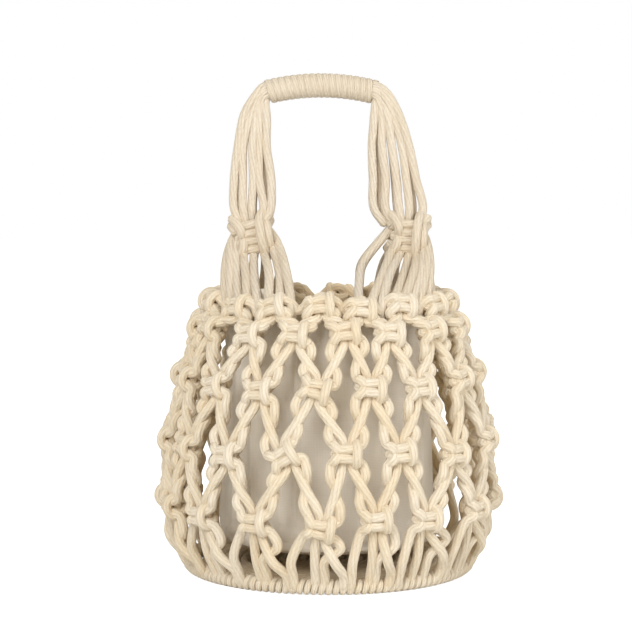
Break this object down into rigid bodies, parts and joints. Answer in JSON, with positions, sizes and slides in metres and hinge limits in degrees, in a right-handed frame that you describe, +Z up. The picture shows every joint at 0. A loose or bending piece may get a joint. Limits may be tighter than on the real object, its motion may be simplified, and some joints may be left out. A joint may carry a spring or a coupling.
{
  "type": "knotted cord bucket bag",
  "caption": "Round openwork bag netted from thick cotton cord in square knots, with a hooped flat base, a hanging cloth liner and one upright wrapped top handle.",
  "frame": {"origin": "middle of the underside of the base", "axes": "+Z up through the base and the grip, +X along the grip towards the bag's right as seen from the front, -Y is the front"},
  "size_m": [0.217, 0.217, 0.3118],
  "materials": {
    "net_cord": "smooth braided cotton cord",
    "handle_cord": "smooth braided cotton cord, pulled tight",
    "grip_cord": "flattened cotton cord, wound tight",
    "base_cord": "coiled cotton rope",
    "liner_cloth": "plain-woven linen cloth"
  },
  "bodies": {
    "bag": {"base_disc": "base_cord", "base_hitches": "net_cord", "base_hoop": "base_cord", "core_cords_tier_1": "net_cord", "core_cords_tier_2": "net_cord", "core_cords_tier_3": "net_cord", "core_cords_tier_4": "net_cord", "core_cords_tier_5": "net_cord", "knots_row_1": "net_cord", "knots_row_2": "net_cord", "knots_row_3": "net_cord", "knots_row_4": "net_cord", "knotting_cords_tier_1": "net_cord", "knotting_cords_tier_2": "net_cord", "knotting_cords_tier_3": "net_cord", "knotting_cords_tier_4": "net_cord", "knotting_cords_tier_5": "net_cord", "left_fan_cords": "handle_cord", "left_leg_knot": "handle_cord", "liner_floor": "liner_cloth", "liner_hem": "liner_cloth", "liner_wall": "liner_cloth", "right_fan_cords": "handle_cord", "right_leg_knot": "handle_cord", "rim_knots": "net_cord", "rim_loops": "net_cord"},
    "handle": {"grip_core": "handle_cord", "grip_wrap": "grip_cord", "left_leg_cords": "handle_cord", "right_leg_cords": "handle_cord"}
  },
  "joints": [
    {"name": "handle_swing", "type": "hinge", "parent": "bag", "child": "handle", "pos_m": [0, 0, 0.228], "axis": [1, 0, 0], "range_deg": [-100, 100]}
  ]
}
